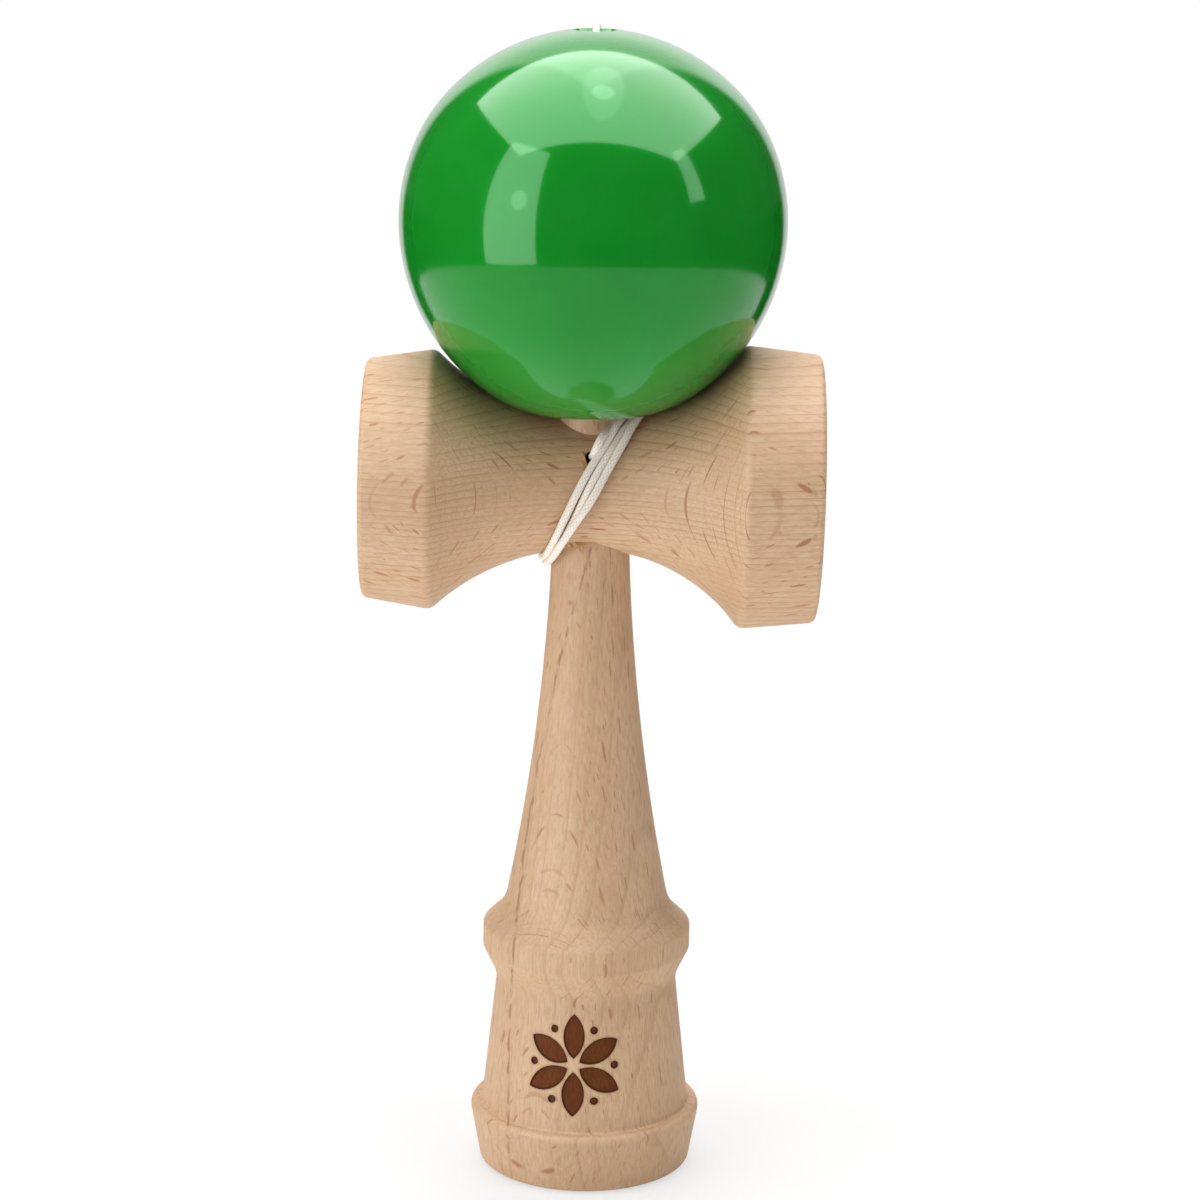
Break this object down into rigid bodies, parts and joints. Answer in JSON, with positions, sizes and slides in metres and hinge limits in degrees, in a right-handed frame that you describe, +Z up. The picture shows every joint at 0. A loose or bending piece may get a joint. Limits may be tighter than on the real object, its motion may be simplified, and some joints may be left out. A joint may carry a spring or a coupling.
{
  "type": "cup and ball toy",
  "caption": "Wooden cup and ball toy: a turned handle with spike and foot cup, a cross piece with a big and a small cup, and a lacquered ball tied on by a wound string.",
  "frame": {"origin": "centre of the foot's rim on the surface that the toy stands on", "axes": "+Z up the handle to the spike, +X towards the big cup, -Y towards the side with the string's hole"},
  "size_m": [0.0715, 0.0613, 0.1834],
  "materials": {
    "beech": "fine-turned bare beech, waxed, satin",
    "green_lacquer": "gloss green lacquer on wood, bare inside the spike's hole",
    "bead_wood": "bare turned wood, satin",
    "cord": "off-white braided cord, matt"
  },
  "bodies": {
    "handle": {"handle": "beech", "cross_piece": "beech", "anchor_knot": "cord", "string_lead": "cord", "string_winding": "cord"},
    "string_end": {"string_bead": "bead_wood", "bead_knot": "cord", "string_tail": "cord"},
    "ball": {"ball": "green_lacquer"}
  },
  "joints": [
    {"name": "ball_lift", "type": "slide", "parent": "handle", "child": "string_end", "axis": [0, 0, 1], "range_m": [0, 0.06], "deforming": ["string_tail"]},
    {"name": "ball_spin", "type": "hinge", "parent": "string_end", "child": "ball", "pos_m": [0, 0, 0.15219], "axis": [0, 0, 1], "continuous": true}
  ]
}
